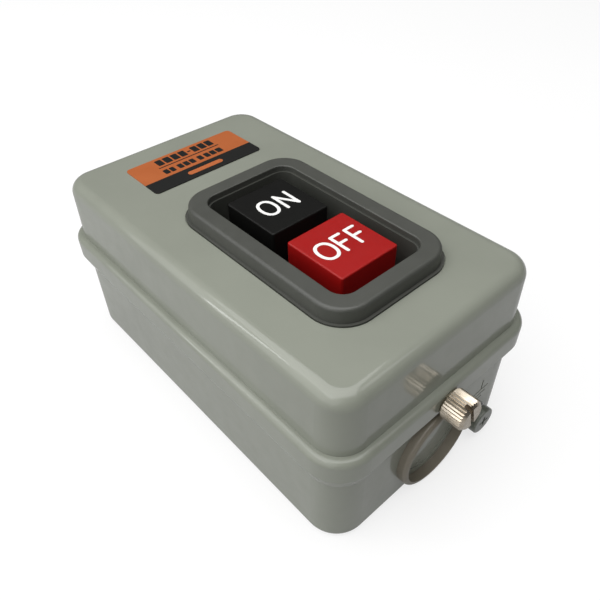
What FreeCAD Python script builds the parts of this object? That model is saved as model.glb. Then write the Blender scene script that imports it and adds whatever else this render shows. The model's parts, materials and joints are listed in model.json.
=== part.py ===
"""Surface-mounted push-button motor starter: metal box, lift-off cover, three-pole latched switch.

Frame: the origin is the centre of the flat back face that stands on the panel. +Z points out
through the cover and the buttons, +Y towards the nameplate end, -Y towards the thumb screw.
All lengths are in millimetres.
"""
import os

import FreeCAD
import Part
from math import cos, pi, radians, sin
from FreeCAD import Vector

# ---- cover ------------------------------------------------------------------------------
COVER_X = 40.0                  # half width across the top
COVER_Y = 68.5                  # half length across the top
COVER_R = 8.8                   # corner radius in plan
COVER_TOP = 62.5
COVER_EDGE_R = 4.2              # rolled edge around the top
COVER_DRAFT = 0.46              # the cover is this much wider at its foot
COVER_WALL = 2.0
SHOULDER_GAP = 0.03             # between the cover's foot and the rim it stands on
SKIRT_OUT = 0.1                 # the skirt inside the rim stands this far outside the top outline
SKIRT_FOOT = 35.2

# ---- base -------------------------------------------------------------------------------
BODY_X = 40.75
BODY_Y = 69.25
BODY_R = 10.4
FOOT_R = 2.0
FLARE_LOW = 27.2                # the wall starts to widen here
RIM_LOW = 33.6
RIM_TOP = 41.5
RIM_OUT = 3.05                  # the rim stands this far outside the cover's top outline
RIM_R = 11.6
RIM_EDGE_R = 2.0
CAVITY_X = 38.4
CAVITY_Y = 66.9
CAVITY_R = 8.0
FLOOR = 2.4
LEDGE = 34.0
SKIRT_GAP = 0.12

# ---- mounting and cable entries -----------------------------------------------------------
MOUNT_X = 32.0
MOUNT_Y = 58.0
MOUNT_HOLE_R = 2.5
ENTRY_X = -1.2                  # both entries share one axis
ENTRY_Z = 16.0
ENTRY_HOLE_R = 11.0
BUSH_R = 15.0
BUSH_BORE_R = 13.3
BUSH_LENGTH = 3.2
BUSH_EDGE_R = 1.3

# ---- bezel and nameplate ------------------------------------------------------------------
BEZEL_X = 23.9                  # half width of the foot flange
BEZEL_Y = 37.7
BEZEL_MID_Y = -14.5
BEZEL_R = 10.8
BEZEL_HEIGHT = 4.8
BEZEL_STEP = 0.8                # the wall stands this far inside the foot flange
BEZEL_DRAFT = 0.45
BEZEL_EDGE_R = 1.1
BEZEL_SEAT = 0.45               # depth of the recess in the cover that takes the foot
OPENING_X = 17.0
OPENING_Y = 30.9
OPENING_R = 5.0
OPENING_LEDGE = 0.6
OPENING_LEDGE_DEPTH = 2.0
COLLAR_WALL = 2.2
COLLAR_FOOT = 52.0
LABEL_X = 22.15
LABEL_Y = 10.15
LABEL_MID = (0.35, 46.0)

# ---- buttons ------------------------------------------------------------------------------
BUTTON_X = 22.3
BUTTON_Y = 22.45
ON_Y = 0.0
OFF_Y = -28.4
ON_TOP = 66.15
OFF_TOP = 66.8
CAP_FOOT = 54.5
CAP_WALL = 1.8
CAP_ROOF = 2.5
STEM_HALF = 4.5

# ---- thumb screw and earth screw ------------------------------------------------------------
THUMB_Z = 36.1
THUMB_R = 2.5
THUMB_HEAD_R = 4.95
THUMB_HEAD = (-71.6, -79.6)     # back and front of the head along Y
KNURLS = 32
EARTH_X = 23.0
EARTH_Z = 7.0
EARTH_HEAD_R = 4.85
EARTH_HEAD = (-70.9, -73.5)

# ---- switch mechanism -----------------------------------------------------------------------
POLES = (-18.0, 0.0, 18.0)
BLOCK_X = 27.0
BLOCK_Y = (-57.0, 35.0)
HOOD_Y = (-46.0, 20.0)
BLOCK_FOOT = 5.0
STRIP_FOOT = 13.0
STRIP = 1.5
CHAMBER_FLOOR = 8.0
HOOD_FOOT = 34.0
HOOD_TOP = 50.0
BLOCK_WALL = 2.0
CONTACT_Y = 10.5
BRIDGE_FOOT = 19.5
LINE_SCREW_Y = 28.0
LOAD_SCREW_Y = -51.0
BAR_FOOT = 27.0
BAR_TOP = 35.0
PIVOT = (-16.0, 24.0)           # Y and Z of the latch lever's pin
EAR_SCREWS = [(sx * 30.5, y) for sx in (-1, 1) for y in (-46.0, 28.0)]
HOOD_SCREWS = [(sx * 23.4, y) for sx in (-1, 1) for y in (-43.0, 17.0)]

UP = Vector(0, 0, 1)
ALONG_X = Vector(1, 0, 0)
ALONG_Y = Vector(0, 1, 0)


def box(x, y, z):
    """Box from three (low, high) pairs."""
    return Part.makeBox(x[1] - x[0], y[1] - y[0], z[1] - z[0], Vector(x[0], y[0], z[0]))


def cylinder(foot, radius, length, axis=UP):
    return Part.makeCylinder(radius, length, Vector(*foot), axis)


def rounded_outline(half_x, half_y, radius, z, mid=(0.0, 0.0)):
    """Closed rectangle outline with round corners, level at height z."""
    points = []
    for sx, sy, start in ((1, 1, 0), (-1, 1, 90), (-1, -1, 180), (1, -1, 270)):
        cx = mid[0] + sx * (half_x - radius)
        cy = mid[1] + sy * (half_y - radius)
        angles = [radians(start + turn) for turn in (0, 45, 90)]
        points.append([Vector(cx + radius * cos(a), cy + radius * sin(a), z) for a in angles])
    edges = []
    for here, after in zip(points, points[1:] + points[:1]):
        edges.append(Part.Arc(*here).toShape())
        edges.append(Part.makeLine(here[2], after[0]))
    return Part.Wire(edges)


def rounded_block(half_x, half_y, radius, z, mid=(0.0, 0.0)):
    outline = rounded_outline(half_x, half_y, radius, z[0], mid)
    return Part.Face(outline).extrude(Vector(0, 0, z[1] - z[0]))


def level_edges(shape, z):
    """The edges that lie wholly in the plane at height z."""
    found = []
    for edge in shape.Edges:
        if abs(edge.BoundBox.ZMin - z) < 1e-4 and abs(edge.BoundBox.ZMax - z) < 1e-4:
            found.append(edge)
    return found


def join(shapes):
    return shapes[0].multiFuse(list(shapes[1:])).removeSplitter()


def carve(shape, tools):
    return shape.cut(list(tools)).removeSplitter()


def side_profile(points, half_width):
    """Solid from a closed (y, z) outline, centred on X = 0."""
    corners = [Vector(-half_width, y, z) for y, z in points]
    face = Part.Face(Part.makePolygon(corners + corners[:1]))
    return face.extrude(Vector(2 * half_width, 0, 0))


# ---- box and cover --------------------------------------------------------------------------
def base_box():
    body = rounded_block(BODY_X, BODY_Y, BODY_R, (0.0, FLARE_LOW))
    body = body.makeFillet(FOOT_R, level_edges(body, 0.0))
    rim_x = COVER_X + RIM_OUT
    rim_y = COVER_Y + RIM_OUT
    flare = Part.makeLoft([rounded_outline(BODY_X, BODY_Y, BODY_R, FLARE_LOW),
                           rounded_outline(rim_x, rim_y, RIM_R, RIM_LOW)], True, True)
    rim = rounded_block(rim_x, rim_y, RIM_R, (RIM_LOW, RIM_TOP))
    rim = rim.makeFillet(RIM_EDGE_R, level_edges(rim, RIM_TOP))
    shell = join([body, flare, rim])

    pocket = SKIRT_OUT + SKIRT_GAP
    tools = [rounded_block(CAVITY_X, CAVITY_Y, CAVITY_R, (FLOOR, RIM_TOP + 1)),
             rounded_block(COVER_X + pocket, COVER_Y + pocket, COVER_R + pocket, (LEDGE, RIM_TOP + 1))]
    shell = carve(shell, tools)

    pads = [cylinder((x, y, FLOOR - 0.2), 4.5, BLOCK_FOOT - FLOOR + 0.2) for x, y in EAR_SCREWS]
    earth_boss = cylinder((EARTH_X, -CAVITY_Y - 0.2, EARTH_Z), 5.0, 4.7, ALONG_Y)
    ribs = [box((sx * 9.5 - 1, sx * 9.5 + 1), (62.0, CAVITY_Y + 0.2), (28.5, 33.0)) for sx in (-1, 1)]
    shell = join([shell, earth_boss] + pads + ribs)

    holes = [cylinder((x, y, 1.0), 2.0, BLOCK_FOOT) for x, y in EAR_SCREWS]
    for sx in (-1, 1):
        for sy in (-1, 1):
            holes.append(cylinder((sx * MOUNT_X, sy * MOUNT_Y, -1), MOUNT_HOLE_R, FLOOR + 2))
    for sy in (-1, 1):
        wall = BODY_Y - CAVITY_Y
        holes.append(cylinder((ENTRY_X, sy * (CAVITY_Y - 1), ENTRY_Z), ENTRY_HOLE_R, wall + 2, ALONG_Y * sy))
        holes.append(cylinder((ENTRY_X, sy * BODY_Y, ENTRY_Z), BUSH_R + 0.05, BUSH_LENGTH, ALONG_Y * sy))
    holes.append(cylinder((EARTH_X, -BODY_Y - 1, EARTH_Z), 2.5, 9.0, ALONG_Y))
    holes.append(cylinder((0, -rim_y - 1, THUMB_Z), THUMB_R + 0.06, 4.0, ALONG_Y))
    holes.append(cylinder((0, -COVER_Y - 0.9, THUMB_Z), THUMB_R + 0.6, 4.0, ALONG_Y))
    return carve(shell, holes + earth_mark())


def earth_mark():
    """Engraved earth symbol above the earth screw: a stem and three shrinking bars."""
    depth = (-BODY_Y - 1, -BODY_Y + 0.4)
    mid = EARTH_X + 0.8
    line = 0.3
    cuts = [box((mid - line, mid + line), depth, (18.8, 23.4))]
    for half, z in ((3.8, 18.8), (2.6, 16.9), (1.2, 15.0)):
        cuts.append(box((mid - half, mid + half), depth, (z - line, z + line)))
    return cuts


def cover_shell():
    """Drafted dome whose foot stands on the rim, over a narrower skirt inside it."""
    foot = COVER_DRAFT
    dome = Part.makeLoft([rounded_outline(COVER_X + foot, COVER_Y + foot, COVER_R + foot,
                                          RIM_TOP + SHOULDER_GAP),
                          rounded_outline(COVER_X, COVER_Y, COVER_R, COVER_TOP)], True, True)
    dome = dome.makeFillet(COVER_EDGE_R, level_edges(dome, COVER_TOP))
    skirt = rounded_block(COVER_X + SKIRT_OUT, COVER_Y + SKIRT_OUT, COVER_R + SKIRT_OUT,
                          (SKIRT_FOOT, RIM_TOP + 1))
    outer = join([dome, skirt])
    roof = COVER_TOP - COVER_WALL
    inner_x = COVER_X - COVER_WALL
    inner_y = COVER_Y - COVER_WALL
    inner = rounded_block(inner_x, inner_y, COVER_R - COVER_WALL, (SKIRT_FOOT - 1, roof))
    inner = inner.makeFillet(2.4, level_edges(inner, roof))
    gap = COLLAR_WALL + 0.2
    cutout = rounded_block(OPENING_X + gap, OPENING_Y + gap, OPENING_R + gap, (roof - 1, COVER_TOP + 1),
                           (0, BEZEL_MID_Y))
    seat = rounded_block(BEZEL_X + 0.35, BEZEL_Y + 0.35, BEZEL_R + 0.35,
                         (COVER_TOP - BEZEL_SEAT, COVER_TOP + 1), (0, BEZEL_MID_Y))
    notch = [box((-3.5, 3.5), (-COVER_Y - 2, -inner_y + 1), (SKIRT_FOOT - 1, THUMB_Z)),
             cylinder((0, -COVER_Y - 2, THUMB_Z), 3.5, 5.0, ALONG_Y)]
    shell = carve(outer, [inner, cutout, seat] + notch)
    tongue = join([box((-8.0, 8.0), (inner_y - 2.0, inner_y - 0.2), (29.5, 44.0)),
                   box((-8.0, 8.0), (inner_y - 0.4, inner_y + 0.2), (36.5, 44.0))])
    return join([shell, tongue])


def cover_gasket():
    outer = rounded_block(COVER_X + SKIRT_OUT, COVER_Y + SKIRT_OUT, COVER_R + SKIRT_OUT,
                          (LEDGE, SKIRT_FOOT))
    inner = rounded_block(CAVITY_X, CAVITY_Y, CAVITY_R, (LEDGE - 1, SKIRT_FOOT + 1))
    gap = box((-4.0, 4.0), (-COVER_Y - 2, -CAVITY_Y + 1), (LEDGE - 1, SKIRT_FOOT + 1))
    return carve(outer, [inner, gap])


def cover_lock_fork():
    """Plate inside the cover whose two prongs straddle the thumb screw's shank."""
    back = -(COVER_Y - COVER_WALL)
    plate = box((-9.0, 9.0), (back, back + 1.5), (31.0, 52.0))
    slot = [box((-2.9, 2.9), (back - 1, back + 3), (30.0, THUMB_Z)),
            cylinder((0, back - 1, THUMB_Z), 2.9, 4.0, ALONG_Y)]
    return carve(plate, slot)


def bezel_frame():
    top = COVER_TOP + BEZEL_HEIGHT
    seat = COVER_TOP - BEZEL_SEAT
    mid = (0, BEZEL_MID_Y)
    foot = rounded_block(BEZEL_X, BEZEL_Y, BEZEL_R, (seat, COVER_TOP + 0.25), mid)
    inset = BEZEL_STEP + BEZEL_DRAFT
    wall = Part.makeLoft([rounded_outline(BEZEL_X - BEZEL_STEP, BEZEL_Y - BEZEL_STEP, BEZEL_R - BEZEL_STEP,
                                          COVER_TOP, mid),
                          rounded_outline(BEZEL_X - inset, BEZEL_Y - inset, BEZEL_R - inset, top, mid)],
                         True, True)
    wall = wall.makeFillet(BEZEL_EDGE_R, level_edges(wall, top))
    collar = rounded_block(OPENING_X + COLLAR_WALL, OPENING_Y + COLLAR_WALL, OPENING_R + COLLAR_WALL,
                           (COLLAR_FOOT, COVER_TOP + 1), mid)
    frame = join([foot, wall, collar])
    ledge = OPENING_LEDGE
    well = rounded_block(OPENING_X - ledge, OPENING_Y - ledge, OPENING_R - ledge,
                         (COLLAR_FOOT - 1, top), mid)
    mouth = rounded_block(OPENING_X, OPENING_Y, OPENING_R, (top - OPENING_LEDGE_DEPTH, top + 1), mid)
    frame = carve(frame, [well, mouth])
    rim = [e for e in level_edges(frame, top) if e.BoundBox.XMax < OPENING_X + 0.01
           and e.BoundBox.XMin > -OPENING_X - 0.01]
    return frame.makeFillet(0.35, rim)


def label_plate():
    return rounded_block(LABEL_X, LABEL_Y, 1.5, (COVER_TOP, COVER_TOP + 0.3), LABEL_MID)


# ---- fasteners and cable entries --------------------------------------------------------------
def thumb_screw():
    back, front = THUMB_HEAD
    rim = []
    for step in range(2 * KNURLS):
        radius = THUMB_HEAD_R if step % 2 else THUMB_HEAD_R - 0.35
        angle = pi * step / KNURLS
        rim.append(Vector(radius * cos(angle), back, THUMB_Z + radius * sin(angle)))
    head = Part.Face(Part.makePolygon(rim + rim[:1])).extrude(Vector(0, front - back, 0))
    envelope = cylinder((0, front, THUMB_Z), THUMB_HEAD_R, back - front, ALONG_Y)
    envelope = envelope.makeChamfer(1.0, [e for e in envelope.Edges if e.BoundBox.YLength < 1e-6])
    head = head.common(envelope)
    slot = box((-0.65, 0.65), (front - 1, front + 2.2), (THUMB_Z - 7, THUMB_Z + 7))
    slot.rotate(Vector(0, front, THUMB_Z), ALONG_Y, -17)
    shank = cylinder((0, back - 0.2, THUMB_Z), THUMB_R, 11.3, ALONG_Y)
    return carve(join([head, shank]), [slot])


def thumb_screw_nut():
    nut = box((-4.5, 4.5), (-64.9, -61.9), (THUMB_Z - 4.5, THUMB_Z + 4.5))
    return carve(nut, [cylinder((0, -66, THUMB_Z), THUMB_R + 0.06, 6.0, ALONG_Y)])


def cross_recess(y, x, z, depth):
    """Two crossed slots cut into a head whose face is at y, opening towards -Y."""
    return [box((x - 2.2, x + 2.2), (y - 1, y + depth), (z - 0.45, z + 0.45)),
            box((x - 0.45, x + 0.45), (y - 1, y + depth), (z - 2.2, z + 2.2))]


def earth_screw():
    back, front = EARTH_HEAD
    head = cylinder((EARTH_X, front, EARTH_Z), EARTH_HEAD_R, back - front, ALONG_Y)
    head = head.makeFillet(0.5, [e for e in head.Edges if abs(e.BoundBox.YMax - front) < 1e-4])
    shank = cylinder((EARTH_X, back - 0.2, EARTH_Z), 2.5, 8.7, ALONG_Y)
    return carve(join([head, shank]), cross_recess(front, EARTH_X, EARTH_Z, 1.3))


def earth_washers():
    washers = []
    start = EARTH_HEAD[0]
    for radius, thickness in ((4.1, 0.8), (5.0, 0.85)):
        ring = cylinder((EARTH_X, start, EARTH_Z), radius, thickness, ALONG_Y)
        washers.append(ring.cut(cylinder((EARTH_X, start - 1, EARTH_Z), 2.55, 3.0, ALONG_Y)))
        start += thickness
    return Part.makeCompound(washers)


def entry_bush():
    """Collar around the near cable entry; its bore stays open down to the blanking plug."""
    front = -BODY_Y - BUSH_LENGTH
    ring = cylinder((ENTRY_X, front, ENTRY_Z), BUSH_R, BUSH_LENGTH, ALONG_Y)
    ring = ring.makeFillet(BUSH_EDGE_R, [e for e in ring.Edges if abs(e.BoundBox.YMax - front) < 1e-4])
    return ring.cut(cylinder((ENTRY_X, front - 1, ENTRY_Z), BUSH_BORE_R, BUSH_LENGTH + 2, ALONG_Y))


def entry_plug():
    """Blanking disc pushed into the entry hole from inside, with a small pry pip."""
    disc = cylinder((ENTRY_X, -BODY_Y + 0.2, ENTRY_Z), ENTRY_HOLE_R - 0.2, BODY_Y - CAVITY_Y - 0.2, ALONG_Y)
    flange = cylinder((ENTRY_X, -CAVITY_Y, ENTRY_Z), ENTRY_HOLE_R + 1.5, 1.0, ALONG_Y)
    pip = cylinder((ENTRY_X - 3.9, -BODY_Y, ENTRY_Z - 8.4), 0.9, 0.8, ALONG_Y)
    return join([disc, flange, pip])


def far_end(shape):
    """The same piece mirrored to the other end of the box."""
    return shape.mirror(Vector(0, 0, 0), ALONG_Y)


def pan_screw(x, y, seat, shank_foot, shank_r, head_r, head_height):
    head = cylinder((x, y, seat), head_r, head_height)
    head = head.makeFillet(head_height * 0.45, level_edges(head, seat + head_height))
    top = seat + head_height
    slots = [box((x - head_r * 0.55, x + head_r * 0.55), (y - 0.4, y + 0.4), (top - 1.2, top + 1)),
             box((x - 0.4, x + 0.4), (y - head_r * 0.55, y + head_r * 0.55), (top - 1.2, top + 1))]
    shank = cylinder((x, y, shank_foot), shank_r, seat - shank_foot + 0.2)
    return carve(join([head, shank]), slots)


# ---- buttons ----------------------------------------------------------------------------------
def button_cap(mid_y, top):
    half_x = BUTTON_X / 2
    half_y = BUTTON_Y / 2
    cap = rounded_block(half_x, half_y, 0.8, (CAP_FOOT, top), (0, mid_y))
    cap = cap.makeFillet(0.5, level_edges(cap, top))
    hollow = rounded_block(half_x - CAP_WALL, half_y - CAP_WALL, 0.6,
                           (CAP_FOOT - 1, top - CAP_ROOF), (0, mid_y))
    return carve(cap, [hollow])


def on_button():
    return button_cap(ON_Y, ON_TOP)


def off_button():
    """Red cap with its stem, stop lugs and the round nose that tips the latch lever."""
    cap = button_cap(OFF_Y, OFF_TOP)
    half = (-STEM_HALF, STEM_HALF)
    stem = box(half, (OFF_Y - STEM_HALF, OFF_Y + STEM_HALF), (36.5, OFF_TOP - CAP_ROOF + 0.5))
    lugs = box((-6.0, 6.0), (OFF_Y - STEM_HALF, OFF_Y + STEM_HALF), (36.5, 38.5))
    nose = join([box((-3.5, 3.5), (OFF_Y - 2, OFF_Y + 2), (37.2, 38.0)),
                 cylinder((-3.5, OFF_Y, 37.2), 2.0, 7.0, ALONG_X)])
    return join([cap, stem, lugs, nose])


# ---- switch mechanism ---------------------------------------------------------------------------
def switch_block():
    """Moulded base of the switch with three channels, one for each pole."""
    channel = (-BLOCK_X + BLOCK_WALL, BLOCK_X - BLOCK_WALL)
    parts = [box((-BLOCK_X, BLOCK_X), BLOCK_Y, (BLOCK_FOOT, STRIP_FOOT))]
    for side in (-1, 1):
        wall = sorted((side * channel[1], side * BLOCK_X))
        parts.append(box(wall, BLOCK_Y, (STRIP_FOOT, 24.0)))
        parts.append(box(wall, HOOD_Y, (24.0, HOOD_FOOT)))
        barrier = sorted((side * 8.0, side * 10.0))
        parts.append(box(barrier, BLOCK_Y, (CHAMBER_FLOOR, 24.0)))
        parts.append(box(barrier, (-20.5, -11.0), (24.0, 28.0)))
    for end in ((HOOD_Y[0], HOOD_Y[0] + BLOCK_WALL), (HOOD_Y[1] - BLOCK_WALL, HOOD_Y[1])):
        parts.append(box((-BLOCK_X, BLOCK_X), end, (16.0, HOOD_FOOT)))
    for x, y in HOOD_SCREWS:
        parts.append(box((x - 3.4, x + 3.4), (y - 2.9, y + 2.9), (16.0, HOOD_FOOT)))
    for y in (-46.0, 28.0):
        parts.append(box((-34.0, 34.0), (y - 6, y + 6), (BLOCK_FOOT, 9.0)))
    block = join(parts)

    chambers = []
    for low, high in ((channel[0], -10.0), (-8.0, 8.0), (10.0, channel[1])):
        chambers.append(box((low, high), (-8.0, 8.0), (CHAMBER_FLOOR, STRIP_FOOT + 1)))
    bar_slot = [box((-24.9, 24.9), (-8.8, 8.8), (22.0, 30.0))]
    holes = [cylinder((x, y, BLOCK_FOOT - 1), 2.1, 6.0) for x, y in EAR_SCREWS]
    holes += [cylinder((x, y, 26.0), 1.5, 9.0) for x, y in HOOD_SCREWS]
    holes += [cylinder((x, y, 9.0), 2.0, 6.0) for x in POLES for y in (LINE_SCREW_Y, LOAD_SCREW_Y)]
    holes.append(cylinder((-10.5, PIVOT[0], PIVOT[1]), 1.5, 21.0, ALONG_X))
    return carve(block, chambers + bar_slot + holes)


def mechanism_hood():
    """Black cover over the contacts; two square sleeves guide the button stems."""
    mid_y = sum(HOOD_Y) / 2
    half_y = (HOOD_Y[1] - HOOD_Y[0]) / 2
    shell = rounded_block(BLOCK_X, half_y, 2.0, (HOOD_FOOT, HOOD_TOP), (0, mid_y))
    inside = box((-BLOCK_X + 2, BLOCK_X - 2), (HOOD_Y[0] + 2, HOOD_Y[1] - 2), (HOOD_FOOT - 1, HOOD_TOP - 2))
    shell = carve(shell, [inside])
    posts = [box((x - 3.4, x + 3.4), (y - 2.9, y + 2.9), (HOOD_FOOT, HOOD_TOP - 1)) for x, y in HOOD_SCREWS]
    reach = STEM_HALF + 2.15
    for y, foot in ((ON_Y, BAR_TOP + 0.3), (OFF_Y, 38.8)):
        posts.append(box((-reach, reach), (y - reach, y + reach), (foot, HOOD_TOP - 1)))
    shell = join([shell] + posts)
    slack = STEM_HALF + 0.15
    holes = [box((-slack, slack), (y - slack, y + slack), (30.0, HOOD_TOP + 1)) for y in (ON_Y, OFF_Y)]
    holes += [cylinder((x, y, HOOD_FOOT - 1), 1.6, HOOD_TOP - HOOD_FOOT + 2) for x, y in HOOD_SCREWS]
    return carve(shell, holes)


def terminal_strip(pole, inner_y, outer_y, screw_y):
    strip = box((pole - 5, pole + 5), sorted((inner_y, outer_y)), (STRIP_FOOT, STRIP_FOOT + STRIP))
    return carve(strip, [cylinder((pole, screw_y, STRIP_FOOT - 1), 2.1, 4.0)])


def fixed_contacts():
    top = STRIP_FOOT + STRIP
    return Part.makeCompound([cylinder((x, y, top), 3.0, 1.0)
                              for x in POLES for y in (-CONTACT_Y, CONTACT_Y)])


def terminal_clamps():
    top = STRIP_FOOT + STRIP
    clamps = []
    for x in POLES:
        for y in (LINE_SCREW_Y, LOAD_SCREW_Y):
            plate = box((x - 4.5, x + 4.5), (y - 4.5, y + 4.5), (top, top + 1.2))
            clamps.append(plate.cut(cylinder((x, y, top - 1), 2.1, 4.0)))
    return Part.makeCompound(clamps)


def terminal_screws():
    seat = STRIP_FOOT + STRIP + 1.2
    return Part.makeCompound([pan_screw(x, y, seat, 9.0, 2.0, 3.6, 2.5)
                              for x in POLES for y in (LINE_SCREW_Y, LOAD_SCREW_Y)])


def block_screws():
    return Part.makeCompound([pan_screw(x, y, 9.0, 1.2, 2.0, 3.4, 2.4) for x, y in EAR_SCREWS])


def hood_screws():
    return Part.makeCompound([pan_screw(x, y, HOOD_TOP, 26.2, 1.5, 2.8, 2.0) for x, y in HOOD_SCREWS])


def contact_carrier():
    """Cross bar under the ON button with a square column and three contact posts."""
    bar = box((-24.5, 24.5), (-6.0, 6.0), (BAR_FOOT, BAR_TOP))
    column = box((-STEM_HALF, STEM_HALF), (-STEM_HALF, STEM_HALF), (BAR_TOP - 1, ON_TOP - CAP_ROOF))
    tooth = box((-3.5, 3.5), (-8.0, -5.0), (BAR_TOP - 3, BAR_TOP))
    parts = [bar, column, tooth]
    for pole in POLES:
        parts.append(cylinder((pole, 0, 18.3), 1.6, BAR_FOOT - 17.3))
        parts.append(cylinder((pole, 0, 18.1), 3.0, 1.3))
    return join(parts)


def moving_contact(pole):
    """Contact bridge that slides on its post, with a round tip at each end."""
    strip = box((pole - 4, pole + 4), (-13.5, 13.5), (BRIDGE_FOOT, BRIDGE_FOOT + STRIP))
    tips = [cylinder((pole, y, BRIDGE_FOOT - 1), 2.8, 1.2) for y in (-CONTACT_Y, CONTACT_Y)]
    return carve(join([strip] + tips), [cylinder((pole, 0, BRIDGE_FOOT - 2), 1.95, 6.0)])


def spring(x, y, z, inner_r, outer_r):
    """Plain sleeve that fills the space of a coil spring from z[0] to z[1]."""
    length = z[1] - z[0]
    sleeve = cylinder((x, y, z[0]), outer_r, length)
    return sleeve.cut(cylinder((x, y, z[0] - 1), inner_r, length + 2))


def latch_lever():
    y, z = PIVOT
    hub = cylinder((-4.0, y, z), 3.3, 8.0, ALONG_X)
    push_arm = side_profile([(-31.0, 35.0), (-22.8, 35.0), (y + 1.0, z + 3.0), (y - 2.0, z - 0.5),
                             (-24.2, 32.2), (-31.0, 32.2)], 4.0)
    hook_arm = side_profile([(y - 1.5, z + 2.0), (y + 2.0, z - 0.5), (-10.2, 30.6), (-8.3, 31.2),
                             (-8.3, 33.5), (-11.8, 33.5)], 3.5)
    return carve(join([hub, push_arm, hook_arm]), [cylinder((-5.0, y, z), 1.56, 10.0, ALONG_X)])


def latch_pin():
    return cylinder((-10.4, PIVOT[0], PIVOT[1]), 1.5, 20.8, ALONG_X)


def latch_spring():
    """Sleeve of the torsion spring between the lever and the barrier."""
    sleeve = cylinder((4.4, PIVOT[0], PIVOT[1]), 2.9, 3.2, ALONG_X)
    return sleeve.cut(cylinder((4.0, PIVOT[0], PIVOT[1]), 1.8, 4.0, ALONG_X))


def all_nodes():
    nodes = {
        "base_box": base_box(),
        "cover_shell": cover_shell(),
        "cover_gasket": cover_gasket(),
        "cover_lock_fork": cover_lock_fork(),
        "bezel_frame": bezel_frame(),
        "label_plate": label_plate(),
        "thumb_screw": thumb_screw(),
        "thumb_screw_nut": thumb_screw_nut(),
        "earth_screw": earth_screw(),
        "earth_washers": earth_washers(),
        "entry_bush_front": entry_bush(),
        "entry_bush_rear": far_end(entry_bush()),
        "entry_plug_front": entry_plug(),
        "entry_plug_rear": far_end(entry_plug()),
        "on_button": on_button(),
        "off_button": off_button(),
        "switch_block": switch_block(),
        "mechanism_hood": mechanism_hood(),
        "fixed_contacts": fixed_contacts(),
        "terminal_clamps": terminal_clamps(),
        "terminal_screws": terminal_screws(),
        "block_screws": block_screws(),
        "hood_screws": hood_screws(),
        "contact_carrier": contact_carrier(),
        "latch_lever": latch_lever(),
        "latch_pin": latch_pin(),
        "latch_spring": latch_spring(),
        "on_return_spring": spring(0, ON_Y, (HOOD_TOP, ON_TOP - CAP_ROOF), 6.9, 8.1),
        "off_return_spring": spring(0, OFF_Y, (HOOD_TOP, OFF_TOP - CAP_ROOF), 6.9, 8.1),
    }
    for number, pole in enumerate(POLES, 1):
        nodes[f"line_terminal_{number}"] = terminal_strip(pole, 8.0, 33.0, LINE_SCREW_Y)
        nodes[f"load_terminal_{number}"] = terminal_strip(pole, -8.0, -55.5, LOAD_SCREW_Y)
        nodes[f"moving_contact_{number}"] = moving_contact(pole)
        nodes[f"contact_spring_{number}"] = spring(pole, 0, (BRIDGE_FOOT + STRIP, BAR_FOOT), 2.7, 3.5)
    return nodes


def main():
    os.makedirs("parts", exist_ok=True)
    for name, shape in all_nodes().items():
        if not shape.isValid():
            raise ValueError(f"{name} is not a valid shape")
        shape.exportStep(f"parts/{name}.step")
        print(f"{name}: {len(shape.Solids)} solid(s), {shape.Volume:.1f} mm3")


main()
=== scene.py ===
"""Looks of the push-button motor starter: materials, springs, button legends, nameplate print.

Everything is in metres in the frame of the CAD model, whose origin is the centre of the back face.
"""
import json
import math

import bpy
from mathutils import Euler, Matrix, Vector


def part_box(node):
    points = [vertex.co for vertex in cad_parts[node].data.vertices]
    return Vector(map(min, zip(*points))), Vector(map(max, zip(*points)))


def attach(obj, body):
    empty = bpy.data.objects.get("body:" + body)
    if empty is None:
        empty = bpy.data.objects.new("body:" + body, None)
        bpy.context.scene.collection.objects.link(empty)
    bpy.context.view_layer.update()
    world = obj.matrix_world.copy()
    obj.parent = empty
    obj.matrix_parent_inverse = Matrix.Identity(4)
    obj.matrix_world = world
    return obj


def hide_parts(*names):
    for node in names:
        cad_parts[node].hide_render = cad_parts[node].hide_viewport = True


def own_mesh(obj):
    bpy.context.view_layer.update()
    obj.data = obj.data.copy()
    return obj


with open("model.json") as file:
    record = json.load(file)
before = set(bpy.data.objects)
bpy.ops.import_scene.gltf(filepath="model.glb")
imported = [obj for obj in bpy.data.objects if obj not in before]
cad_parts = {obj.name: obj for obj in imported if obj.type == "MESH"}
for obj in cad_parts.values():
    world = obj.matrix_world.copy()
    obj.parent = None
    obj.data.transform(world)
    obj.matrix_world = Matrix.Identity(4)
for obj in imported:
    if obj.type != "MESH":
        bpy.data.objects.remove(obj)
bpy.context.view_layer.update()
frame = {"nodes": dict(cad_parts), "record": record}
NODES = frame["nodes"]
MM = 0.001
SHARP_DEG = 35.0                # edges steeper than this stay sharp


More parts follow.
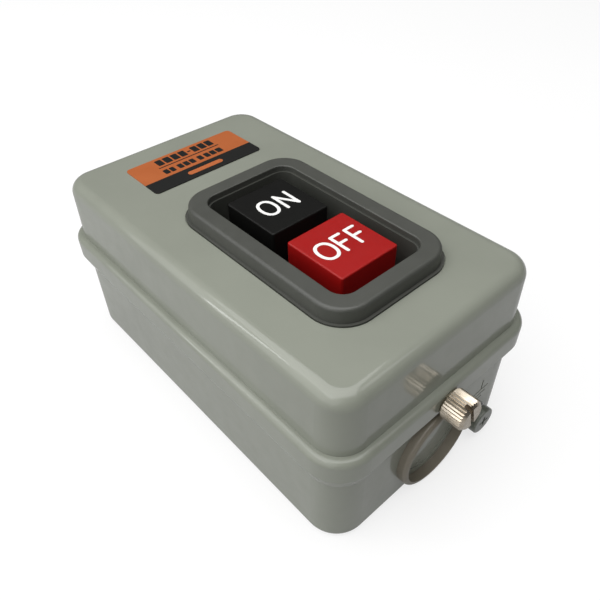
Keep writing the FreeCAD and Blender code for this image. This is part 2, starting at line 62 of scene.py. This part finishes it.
# ---- shader helpers -----------------------------------------------------------------------------
class Finish:
    """One Principled material, with short calls for its procedural parts."""

    def __init__(self, name, **values):
        self.mat = bpy.data.materials.new(name)
        self.mat.use_nodes = True
        self.tree = self.mat.node_tree
        self.shader = self.tree.nodes["Principled BSDF"]
        self.place = self.add("ShaderNodeTexCoord").outputs["Object"]
        for socket, value in values.items():
            self.shader.inputs[socket.replace("_", " ")].default_value = value

    def add(self, kind, **settings):
        """New node of this kind with its settings."""
        node = self.tree.nodes.new(kind)
        for key, value in settings.items():
            setattr(node, key, value)
        return node

    def link(self, source, target):
        self.tree.links.new(source, target)

    def stretch(self, scale):
        """Object coordinates scaled apart along the axes."""
        node = self.add("ShaderNodeMapping")
        node.inputs["Scale"].default_value = scale
        self.link(self.place, node.inputs["Vector"])
        return node.outputs["Vector"]

    def noise(self, size, detail=2.0, rough=0.5, scale=None):
        """Noise whose blobs are about size metres across."""
        node = self.add("ShaderNodeTexNoise")
        node.inputs["Scale"].default_value = 1.0 / size
        node.inputs["Detail"].default_value = detail
        node.inputs["Roughness"].default_value = rough
        self.link(self.stretch(scale) if scale else self.place, node.inputs["Vector"])
        return node.outputs["Fac"]

    def cells(self, size):
        """Distance to the middle of cells about size metres across."""
        node = self.add("ShaderNodeTexVoronoi", feature="F1")
        node.inputs["Scale"].default_value = 1.0 / size
        self.link(self.place, node.inputs["Vector"])
        return node.outputs["Distance"]

    def span(self, value, low, high, start=0.0, end=1.0):
        """Maps start..end of value onto low..high."""
        node = self.add("ShaderNodeMapRange")
        for socket, number in zip(node.inputs[1:5], (start, end, low, high)):
            socket.default_value = number
        self.link(value, node.inputs["Value"])
        return node.outputs["Result"]

    def blend(self, value, *stops):
        """Colour ramp through (position, colour) stops."""
        ramp = self.add("ShaderNodeValToRGB")
        elements = ramp.color_ramp.elements
        while len(elements) < len(stops):
            elements.new(0.5)
        for element, (position, colour) in zip(elements, stops):
            element.position = position
            element.color = (*colour, 1.0)
        self.link(value, ramp.inputs["Fac"])
        return ramp.outputs["Color"]

    def colour(self, source):
        self.link(source, self.shader.inputs["Base Color"])

    def roughness(self, source):
        self.link(source, self.shader.inputs["Roughness"])

    def bump(self, *layers):
        """Stacks (height source, depth in metres) layers of bump."""
        normal = None
        for source, depth in layers:
            node = self.add("ShaderNodeBump")
            node.inputs["Strength"].default_value = 1.0
            node.inputs["Distance"].default_value = depth
            self.link(source, node.inputs["Height"])
            if normal is not None:
                self.link(normal, node.inputs["Normal"])
            normal = node.outputs["Normal"]
        self.link(normal, self.shader.inputs["Normal"])

    def coat_bump(self, source, depth):
        """One layer of bump on the clear coat only; depth in metres."""
        node = self.add("ShaderNodeBump")
        node.inputs["Strength"].default_value = 1.0
        node.inputs["Distance"].default_value = depth
        self.link(source, node.inputs["Height"])
        self.link(node.outputs["Normal"], self.shader.inputs["Coat Normal"])


def tint(colour, factor):
    """Colour made lighter or darker."""
    return tuple(channel * factor for channel in colour)


# ---- materials ----------------------------------------------------------------------------------
def make_enamel():
    """Sprayed grey-green enamel under a glossy skin: faint mottling, fine dust and orange peel."""
    paint = Finish("enamel", Roughness=0.34, Specular_IOR_Level=0.2,
                   Coat_Weight=1.0, Coat_IOR=1.37, Coat_Roughness=0.07)
    base = (0.231, 0.244, 0.204)
    mottle = paint.noise(0.022, 4.0)
    paint.colour(paint.blend(mottle, (0.30, tint(base, 0.955)), (0.52, base),
                             (0.75, tint(base, 1.03))))
    paint.roughness(paint.span(paint.noise(0.006, 3.0), 0.29, 0.40, 0.3, 0.7))
    peel = paint.noise(0.0016, 2.0)
    paint.bump((peel, 0.000010), (paint.noise(0.0003, 1.0), 0.0000012))
    paint.coat_bump(peel, 0.000004)
    return paint.mat


def make_rubber():
    """Matt black rubber with a dusty grain."""
    rubber = Finish("gasket_rubber", Roughness=0.8)
    grain = rubber.noise(0.0006, 3.0)
    rubber.colour(rubber.blend(grain, (0.3, (0.012, 0.012, 0.012)), (0.7, (0.026, 0.026, 0.025))))
    rubber.roughness(rubber.span(rubber.noise(0.004), 0.7, 0.92))
    rubber.bump((grain, 0.00003))
    return rubber.mat


def make_plated():
    """Zinc plate: bluish grey with a yellowish bloom and fine turning marks."""
    zinc = Finish("plated_steel", Metallic=1.0, Roughness=0.35)
    bloom = zinc.noise(0.003, 4.0)
    zinc.colour(zinc.blend(bloom, (0.3, (0.42, 0.43, 0.45)), (0.55, (0.52, 0.52, 0.50)),
                           (0.8, (0.58, 0.54, 0.42))))
    zinc.roughness(zinc.span(zinc.noise(0.0009, 3.0), 0.26, 0.48, 0.3, 0.7))
    zinc.bump((zinc.noise(0.0004, 2.0, scale=(1, 6, 6)), 0.000006))
    return zinc.mat


def make_spring():
    """Bright drawn wire with streaks along it."""
    wire = Finish("spring_steel", Metallic=1.0, Roughness=0.3)
    streaks = wire.noise(0.0005, 3.0, scale=(1, 1, 4))
    wire.colour(wire.blend(streaks, (0.3, (0.30, 0.30, 0.31)), (0.7, (0.46, 0.45, 0.44))))
    wire.roughness(wire.span(streaks, 0.22, 0.42))
    wire.bump((streaks, 0.000008))
    return wire.mat


def make_nickel():
    """Warm bright nickel with lengthwise drag marks and a few dull patches."""
    nickel = Finish("nickel", Metallic=1.0, Roughness=0.22)
    patch = nickel.noise(0.0022, 4.0)
    nickel.colour(nickel.blend(patch, (0.28, (0.42, 0.36, 0.28)), (0.5, (0.52, 0.46, 0.38)),
                               (0.8, (0.60, 0.54, 0.46))))
    drag = nickel.noise(0.0004, 3.0, scale=(1, 0.12, 1))
    nickel.roughness(nickel.span(drag, 0.16, 0.36, 0.3, 0.7))
    nickel.bump((drag, 0.000012))
    return nickel.mat


def make_painted_screw():
    """Screw painted over with the box, rubbed through to dull metal in spots."""
    screw = Finish("painted_screw", Roughness=0.36, Coat_Weight=0.8, Coat_Roughness=0.10)
    rub = screw.noise(0.0016, 4.0, 0.6)
    screw.colour(screw.blend(rub, (0.40, (0.095, 0.104, 0.084)), (0.62, (0.118, 0.128, 0.104)),
                             (0.72, (0.19, 0.19, 0.165))))
    screw.link(screw.span(rub, 0.0, 0.5, 0.66, 0.74), screw.shader.inputs["Metallic"])
    screw.roughness(screw.span(rub, 0.30, 0.46))
    screw.bump((screw.noise(0.0008, 2.0), 0.00002))
    return screw.mat


def moulded(name, dark, light, low, high, **values):
    """Moulded plastic: soft flow shading dark..light, roughness low..high, fine eroded grain."""
    plastic = Finish(name, Roughness=(low + high) / 2, **values)
    flow = plastic.noise(0.014, 3.0)
    plastic.colour(plastic.blend(flow, (0.3, dark), (0.7, light)))
    plastic.roughness(plastic.span(plastic.noise(0.003, 3.0), low, high, 0.3, 0.7))
    plastic.bump((plastic.noise(0.0005, 3.0, 0.6), 0.00001))
    return plastic.mat


def make_phenolic():
    """Brown-black phenolic with pale filler flecks."""
    resin = Finish("phenolic", Roughness=0.42)
    fleck = resin.cells(0.0007)
    resin.colour(resin.blend(fleck, (0.06, (0.085, 0.048, 0.028)), (0.16, (0.024, 0.015, 0.011)),
                             (0.8, (0.034, 0.020, 0.014))))
    resin.roughness(resin.span(resin.noise(0.002, 3.0), 0.34, 0.5))
    resin.bump((resin.noise(0.0006, 3.0), 0.00001))
    return resin.mat


def make_silver():
    """Silver contact faces, tarnished brown in patches."""
    silver = Finish("silver", Metallic=1.0, Roughness=0.3)
    tarnish = silver.noise(0.0012, 4.0)
    silver.colour(silver.blend(tarnish, (0.3, (0.46, 0.41, 0.33)), (0.6, (0.80, 0.78, 0.74))))
    silver.roughness(silver.span(tarnish, 0.4, 0.2))
    silver.bump((silver.cells(0.0005), 0.000008))
    return silver.mat


def make_brass():
    """Rolled brass strip, brushed lengthwise, slightly browned."""
    brass = Finish("brass", Metallic=1.0, Roughness=0.3)
    age = brass.noise(0.005, 4.0)
    brass.colour(brass.blend(age, (0.3, (0.46, 0.29, 0.10)), (0.7, (0.66, 0.47, 0.19))))
    rolled = brass.noise(0.0004, 3.0, scale=(1, 0.08, 1))
    brass.roughness(brass.span(rolled, 0.24, 0.42))
    brass.bump((rolled, 0.000006))
    return brass.mat


def make_print(name, colour, rough=0.45):
    """Screen print ink: slightly uneven cover and a dry surface."""
    ink = Finish(name, Roughness=rough)
    cover = ink.noise(0.0009, 4.0, 0.6)
    ink.colour(ink.blend(cover, (0.25, tint(colour, 0.90)), (0.6, colour)))
    ink.roughness(ink.span(cover, rough - 0.06, rough + 0.08))
    ink.bump((ink.noise(0.0004, 2.0), 0.000004))
    return ink.mat


def make_foil():
    """Orange printed foil with the faint brushing of the metal below."""
    foil = Finish("label_foil", Roughness=0.42, Metallic=0.15)
    brushing = foil.noise(0.0004, 3.0, scale=(0.06, 1, 1))
    cloud = foil.noise(0.008, 3.0)
    foil.colour(foil.blend(cloud, (0.3, (0.405, 0.103, 0.025)), (0.7, (0.43, 0.114, 0.030))))
    foil.roughness(foil.span(brushing, 0.36, 0.50))
    foil.bump((brushing, 0.000004))
    return foil.mat


FINISHES = {
    "enamel": make_enamel(),
    "gasket_rubber": make_rubber(),
    "plated_steel": make_plated(),
    "spring_steel": make_spring(),
    "nickel": make_nickel(),
    "painted_screw": make_painted_screw(),
    "bezel_plastic": moulded(
        "bezel_plastic", (0.053, 0.055, 0.048), (0.059, 0.061, 0.053), 0.38, 0.48),
    "label_foil": make_foil(),
    "bush_plastic": moulded(
        "bush_plastic", (0.162, 0.144, 0.110), (0.178, 0.159, 0.124), 0.34, 0.44),
    "black_button": moulded(
        "black_button", (0.0058, 0.0058, 0.0054), (0.0068, 0.0068, 0.0063), 0.36, 0.42,
        Specular_IOR_Level=0.16),
    "red_button": moulded(
        "red_button", (0.295, 0.0042, 0.0036), (0.315, 0.0052, 0.0046), 0.38, 0.44,
        Specular_IOR_Level=0.32, Subsurface_Weight=0.25, Subsurface_Scale=0.0015,
        Subsurface_Radius=(1.0, 0.08, 0.06)),
    "phenolic": make_phenolic(),
    "black_moulding": moulded(
        "black_moulding", (0.007, 0.007, 0.007), (0.011, 0.011, 0.011), 0.40, 0.55,
        Specular_IOR_Level=0.35),
    "silver": make_silver(),
    "brass": make_brass(),
    "lever_plastic": moulded(
        "lever_plastic", (0.58, 0.55, 0.46), (0.64, 0.61, 0.53), 0.35, 0.48),
}
WHITE_INK = make_print("legend_white", (0.82, 0.82, 0.80))
BLACK_INK = make_print("plate_black", (0.0045, 0.0048, 0.0043), 0.40)
ORANGE_INK = make_print("plate_orange", (0.42, 0.109, 0.028))

for part in frame["record"]["subparts"]:
    node = NODES[part["node"]]
    for index in range(len(node.material_slots)):
        node.material_slots[index].material = FINISHES[part["material_slot"]]


# ---- mesh helpers -------------------------------------------------------------------------------
def new_piece(name, verts, faces, material, smooth_angle=SHARP_DEG):
    """Object with one smooth-shaded mesh and one material."""
    mesh = bpy.data.meshes.new(name)
    mesh.from_pydata(verts, [], faces)
    mesh.update()
    mesh.shade_smooth()
    mesh.set_sharp_from_angle(angle=math.radians(smooth_angle))
    piece = bpy.data.objects.new(name, mesh)
    bpy.context.scene.collection.objects.link(piece)
    mesh.materials.append(material)
    return piece


def tube(points, radius, sides=14):
    """Vertices and faces of a closed round tube along a list of points."""
    verts = []
    faces = []
    side = None
    for index, point in enumerate(points):
        ahead = points[min(index + 1, len(points) - 1)] - points[max(index - 1, 0)]
        ahead.normalize()
        if side is None:
            side = ahead.orthogonal().normalized()
        side = (side - ahead * side.dot(ahead)).normalized()
        other = ahead.cross(side)
        for step in range(sides):
            angle = 2 * math.pi * step / sides
            verts.append(point + (side * math.cos(angle) + other * math.sin(angle)) * radius)
    for ring in range(len(points) - 1):
        start = ring * sides
        for step in range(sides):
            after = (step + 1) % sides
            faces.append((start + step, start + after, start + sides + after, start + sides + step))
    faces.append(tuple(reversed(range(sides))))
    faces.append(tuple(range(len(verts) - sides, len(verts))))
    return verts, faces


COIL_STEPS = 28                 # points along each turn of wire


def coil_points(foot, length, radius, wire, turns):
    """Helix along +Z with one closed turn at each end; the wire stays within length above foot."""
    points = []
    closed_pitch = wire * 1.04
    free = length - wire - 2 * closed_pitch
    for index in range(int(turns * COIL_STEPS) + 1):
        turn = index / COIL_STEPS
        if turn < 1:
            height = turn * closed_pitch
        elif turn > turns - 1:
            height = closed_pitch + free + (turn - turns + 1) * closed_pitch
        else:
            height = closed_pitch + free * (turn - 1) / (turns - 2)
        angle = 2 * math.pi * turn
        around = Vector((radius * math.cos(angle), radius * math.sin(angle), height + wire / 2))
        points.append(around + foot)
    return points


# ---- springs ------------------------------------------------------------------------------------
WIRE_SMOOTH_DEG = 60.0


def compression_spring(node, wire, turns, body):
    """Coil spring in the space of its CAD sleeve, riding on its body."""
    low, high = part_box(node)
    mid = (low + high) / 2
    length = high.z - low.z
    radius = (high.x - low.x) / 2 - wire / 2
    foot = Vector((mid.x, mid.y, low.z))
    verts, faces = tube(coil_points(foot, length, radius, wire, turns), wire / 2)
    coil = new_piece(node + "_coil", verts, faces, FINISHES["spring_steel"], WIRE_SMOOTH_DEG)
    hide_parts(node)
    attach(coil, body)
    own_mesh(coil)


compression_spring("on_return_spring", 1.2 * MM, 6.5, "box")
compression_spring("off_return_spring", 1.2 * MM, 6.5, "box")
for pole in (1, 2, 3):
    compression_spring(f"contact_spring_{pole}", 0.8 * MM, 4.5, "contacts")


def torsion_spring():
    """Three close turns on the latch pin with two straight legs."""
    low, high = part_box("latch_spring")
    mid = (low + high) / 2
    wire = 0.9 * MM
    radius = (high.z - low.z) / 2 - wire / 2
    turns = 2.75
    pitch = (high.x - low.x - wire) / turns
    points = []
    for index in range(int(turns * COIL_STEPS) + 1):
        turn = index / COIL_STEPS
        angle = 2 * math.pi * turn
        points.append(Vector((low.x + wire / 2 + pitch * turn, mid.y + radius * math.cos(angle),
                              mid.z + radius * math.sin(angle))))
    first_run = (points[0] - points[1]).normalized()
    last_run = (points[-1] - points[-2]).normalized()
    reaches = (1.0, 2.0, 3.5, 5.0)              # millimetres along each straight leg
    lead = [points[0] + first_run * reach * MM for reach in reversed(reaches)]
    tail = [points[-1] + last_run * reach * MM for reach in reaches]
    verts, faces = tube(lead + points + tail, wire / 2)
    coil = new_piece("latch_spring_coil", verts, faces, FINISHES["spring_steel"], WIRE_SMOOTH_DEG)
    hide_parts("latch_spring")
    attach(coil, "box")


torsion_spring()


# ---- button legends -----------------------------------------------------------------------------
STROKE = 1.04 * MM              # width of a legend stroke
PRINT = 0.06 * MM               # height of print above its surface
SUNK = 0.10 * MM                # print starts this far under the surface
LEGEND_RISE = 0.35 * MM         # legends sit this far above the button's middle
STROKE_STEP = 0.0015 * MM       # no two strokes share a face, which keeps the union clean
ON_HALF = 4.32 * MM             # half height of the letters
OFF_HALF = 4.18 * MM


def capsule(start, end, width):
    """Outline of a straight stroke with round ends."""
    along = (end - start).normalized()
    across = Vector((-along.y, along.x))
    outline = []
    for centre, turn in ((end, -90), (start, 90)):
        for step in range(13):
            angle = math.radians(turn + 15 * step)
            spoke = along * math.cos(angle) + across * math.sin(angle)
            outline.append(centre + spoke * width / 2)
    return outline


def prism(outline, low, high):
    """Vertices and faces of an upright prism over an outline."""
    count = len(outline)
    verts = [Vector((p.x, p.y, z)) for z in (low, high) for p in outline]
    faces = [tuple(reversed(range(count))), tuple(range(count, 2 * count))]
    for step in range(count):
        after = (step + 1) % count
        faces.append((step, after, count + after, count + step))
    return verts, faces


def squared(value):
    """Sine or cosine drawn out a little, which squares an oval slightly."""
    return math.copysign(abs(value) ** 0.9, value)


def oval_ring(mid, half_x, half_y, width, low, high):
    """Upright oval letter O as a closed ring."""
    verts = []
    faces = []
    steps = 72
    for z in (low, high):
        for inset in (0.0, width):
            for step in range(steps):
                angle = 2 * math.pi * step / steps
                x = mid.x + (half_x - inset) * squared(math.cos(angle))
                y = mid.y + (half_y - inset) * squared(math.sin(angle))
                verts.append(Vector((x, y, z)))
    outer_low, inner_low, outer_top, inner_top = (ring * steps for ring in range(4))
    for step in range(steps):
        after = (step + 1) % steps
        for a, b in ((outer_low, outer_top), (inner_top, inner_low),
                     (outer_top, inner_top), (inner_low, outer_low)):
            faces.append((a + step, a + after, b + after, b + step))
    return verts, faces


def merged(name, solids, material):
    """Joins overlapping prisms into one clean solid."""
    pieces = [new_piece(f"{name}_{index}", *solid, material) for index, solid in enumerate(solids)]
    whole = pieces[0]
    for piece in pieces[1:]:
        union = whole.modifiers.new("union", "BOOLEAN")
        union.operation = "UNION"
        union.solver = "EXACT"
        union.object = piece
    bpy.context.view_layer.update()
    depsgraph = bpy.context.evaluated_depsgraph_get()
    mesh = bpy.data.meshes.new_from_object(whole.evaluated_get(depsgraph))
    for piece in pieces:
        bpy.data.objects.remove(piece)
    mesh.shade_smooth()
    mesh.set_sharp_from_angle(angle=math.radians(SHARP_DEG))
    result = bpy.data.objects.new(name, mesh)
    bpy.context.scene.collection.objects.link(result)
    if not mesh.materials:
        mesh.materials.append(material)
    return result


def legend(name, button, body, letter_o, strokes, half_y):
    """Legend on a button: letter_o is (x, half width), strokes are pairs of points."""
    low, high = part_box(button)
    mid = Vector(((low.x + high.x) / 2, (low.y + high.y) / 2 + LEGEND_RISE))
    x, half_x = letter_o
    solids = [oval_ring(mid + Vector((x, 0)), half_x, half_y, STROKE,
                        high.z - SUNK, high.z + PRINT)]
    for index, (start, end) in enumerate(strokes):
        apart = index * STROKE_STEP
        outline = capsule(mid + Vector(start), mid + Vector(end), STROKE - 2 * apart)
        solids.append(prism(outline, high.z - SUNK - apart, high.z + PRINT - apart))
    piece = merged(name, solids, WHITE_INK)
    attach(piece, body)


def letter_n(x0, x1, half_y):
    """Strokes of an N between two upright stroke axes."""
    tip = half_y - STROKE / 2
    return [((x0, -tip), (x0, tip)), ((x0, tip), (x1, -tip)), ((x1, -tip), (x1, tip))]


def letter_f(x0, x1, half_y):
    """Strokes of an F from its upright to the end of its upper bar."""
    tip = half_y - STROKE / 2
    middle = 0.1 * MM
    short = x1 - 0.4 * MM
    return [((x0, -tip), (x0, tip)), ((x0, tip), (x1, tip)), ((x0, middle), (short, middle))]


legend("on_legend", "on_button", "on_press", (-3.33 * MM, 3.17 * MM),
       letter_n(1.60 * MM, 6.07 * MM, ON_HALF), ON_HALF)
legend("off_legend", "off_button", "off_press", (-5.67 * MM, 3.33 * MM),
       letter_f(-0.93 * MM, 2.37 * MM, OFF_HALF) + letter_f(4.73 * MM, 8.10 * MM, OFF_HALF),
       OFF_HALF)


# ---- nameplate print ----------------------------------------------------------------------------
STRIP_SHARE = 0.342             # the black foot strip's share of the plate's height
STRIP_WRAP = 0.02 * MM          # it covers the plate's edges by this much
STRIP_CORNER = 1.52 * MM
BAR_CORNERS = (0.35 * MM,) * 4
BADGE_X = 7.2 * MM              # half size of the empty badge in the strip
BADGE_Y = 1.1 * MM


def round_outline(x0, x1, y0, y1, radii):
    """Rectangle outline; radii are for the corners (x1, y1), (x0, y1), (x0, y0), (x1, y0)."""
    outline = []
    corners = ((x1, y1, -1, -1, 0), (x0, y1, 1, -1, 90), (x0, y0, 1, 1, 180), (x1, y0, -1, 1, 270))
    for (x, y, inward_x, inward_y, start), radius in zip(corners, radii):
        turns = [90 * step / 6 for step in range(7)] if radius > 0 else [0]
        for turn in turns:
            angle = math.radians(start + turn)
            outline.append(Vector((x + radius * (inward_x + math.cos(angle)),
                                   y + radius * (inward_y + math.sin(angle)))))
    return outline


def plate_print(name, bars, material, lift=0.03 * MM, sunk=0.02 * MM):
    """Printed bars on the nameplate, as (x0, x1, y0, y1, corner radii) from its middle."""
    low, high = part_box("label_plate")
    mid = (low + high) / 2
    verts = []
    faces = []
    for x0, x1, y0, y1, radii in bars:
        outline = round_outline(mid.x + x0, mid.x + x1, mid.y + y0, mid.y + y1, radii)
        more_verts, more_faces = prism(outline, high.z - sunk, high.z + lift)
        faces += [tuple(index + len(verts) for index in face) for face in more_faces]
        verts += more_verts
    piece = new_piece(name, verts, faces, material)
    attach(piece, "cover")


def bar_row(start, y0, y1, widths_and_gaps):
    """Row of print blocks on one line; widths and the gaps after them are in millimetres."""
    x = start
    row = []
    for width, gap in widths_and_gaps:
        row.append((x * MM, (x + width) * MM, y0 * MM, y1 * MM, BAR_CORNERS))
        x += width + gap
    return row


def nameplate():
    """Orange plate with a black foot strip and plain bars where a plate carries its print."""
    low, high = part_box("label_plate")
    half_x = (high.x - low.x) / 2
    half_y = (high.y - low.y) / 2
    strip_top = -half_y + STRIP_SHARE * 2 * half_y
    plate_print("plate_strip",
                [(-half_x - STRIP_WRAP, half_x + STRIP_WRAP, -half_y - STRIP_WRAP, strip_top,
                  (0, 0, STRIP_CORNER, STRIP_CORNER))],
                BLACK_INK, STRIP_WRAP, high.z - low.z - STRIP_WRAP)

    top_gap = 0.62
    bars = bar_row(-11.7, 4.7, 8.7,
                   [(2.5, top_gap), (2.7, top_gap), (2.6, top_gap), (2.6, top_gap)])
    bars += bar_row(1.18, 6.2, 7.0, [(1.4, top_gap)])
    bars += bar_row(3.20, 4.7, 8.7, [(2.5, top_gap), (2.5, top_gap), (2.5, top_gap)])
    bars.append((-12.8 * MM, 12.7 * MM, 3.1 * MM, 3.6 * MM, (0.2 * MM,) * 4))
    bars += bar_row(-12.8, -1.6, 1.4,
                    [(2.0, 0.5), (1.8, 1.4), (2.0, 0.5), (2.0, 0.5), (2.0, 1.4),
                     (2.0, 0.9), (2.0, 0.5), (2.1, 0.5), (2.4, 0.0)])
    plate_print("plate_bars", bars, BLACK_INK)

    middle = (-half_y + strip_top) / 2
    plate_print("plate_badge",
                [(-BADGE_X, BADGE_X, middle - BADGE_Y, middle + BADGE_Y, (1.05 * MM,) * 4)],
                ORANGE_INK, 0.045 * MM)


nameplate()


# ---- stage --------------------------------------------------------------------------------------
def make_floor():
    """Pale sheet that glows a little, so the object's shadow on it stays faint."""
    sheet = Finish("studio_floor", Roughness=0.9, Specular_IOR_Level=0.1)
    sheet.shader.inputs["Emission Color"].default_value = (1.0, 1.0, 1.0, 1.0)
    sheet.colour(sheet.blend(sheet.noise(0.4, 1.0), (0.3, (0.25, 0.25, 0.25)),
                             (0.7, (0.26, 0.26, 0.26))))
    seen = sheet.add("ShaderNodeLightPath").outputs["Is Camera Ray"]
    sheet.link(sheet.span(seen, 0.23, 0.72), sheet.shader.inputs["Emission Strength"])
    reach = 3.0
    corners = [(-reach, -reach, 0), (reach, -reach, 0), (reach, reach, 0), (-reach, reach, 0)]
    floor = new_piece("floor", [Vector(corner) for corner in corners], [(0, 1, 2, 3)], sheet.mat)
    floor.location.z = -0.0002                  # just clear of the back face


def soft_light(name, direction, distance, size, power):
    """Rectangular softbox that faces the middle of the object from a direction."""
    light = bpy.data.lights.new(name, "AREA")
    light.shape = "RECTANGLE"
    light.size, light.size_y = size
    light.energy = power
    lamp = bpy.data.objects.new(name, light)
    away = Vector(direction).normalized()
    lamp.location = Vector((0.0, 0.0, 0.03)) + away * distance
    lamp.rotation_euler = away.to_track_quat("Z", "Y").to_euler()
    bpy.context.scene.collection.objects.link(lamp)


def make_world():
    """Pale backdrop for the camera over a much dimmer room for everything else."""
    world = bpy.data.worlds.new("studio")
    world.use_nodes = True
    tree = world.node_tree
    room = tree.nodes["Background"]
    room.inputs["Color"].default_value = (1.0, 1.0, 0.98, 1.0)
    room.inputs["Strength"].default_value = 0.10
    backdrop = tree.nodes.new("ShaderNodeBackground")
    backdrop.inputs["Color"].default_value = (1.0, 1.0, 1.0, 1.0)
    backdrop.inputs["Strength"].default_value = 1.02
    path = tree.nodes.new("ShaderNodeLightPath")
    mix = tree.nodes.new("ShaderNodeMixShader")
    tree.links.new(path.outputs["Is Camera Ray"], mix.inputs["Fac"])
    tree.links.new(room.outputs["Background"], mix.inputs[1])
    tree.links.new(backdrop.outputs["Background"], mix.inputs[2])
    tree.links.new(mix.outputs["Shader"], tree.nodes["World Output"].inputs["Surface"])
    bpy.context.scene.world = world


make_floor()
make_world()
soft_light("overhead", (-0.12, 0.05, 1.0), 1.0, (1.2, 1.3), 14.2)
soft_light("left_wide", (-1.0, 0.12, 0.60), 1.0, (1.9, 1.0), 7.9)
soft_light("edge_strip", (-0.68, 0.55, 0.49), 0.9, (0.05, 0.5), 0.55)
soft_light("near_corner", (0.45, -0.40, 0.80), 0.9, (0.2, 0.2), 0.22)


def make_camera():
    """Camera off the near left corner, looking down on the cover."""
    lens = bpy.data.cameras.new("camera")
    lens.sensor_width = 36.0
    lens.lens = 36.076
    lens.shift_x = -0.0025
    lens.shift_y = 0.0016
    lens.clip_start = 0.005
    camera = bpy.data.objects.new("camera", lens)
    camera.location = (-0.09908, -0.12292, 0.17018)
    turns = (47.439, 0.78, -42.106)
    camera.rotation_euler = Euler([math.radians(turn) for turn in turns], "XYZ")
    bpy.context.scene.collection.objects.link(camera)
    bpy.context.scene.camera = camera


make_camera()
bpy.context.scene.view_settings.view_transform = "Standard"
bpy.context.scene.view_settings.look = "None"

bpy.context.view_layer.update()
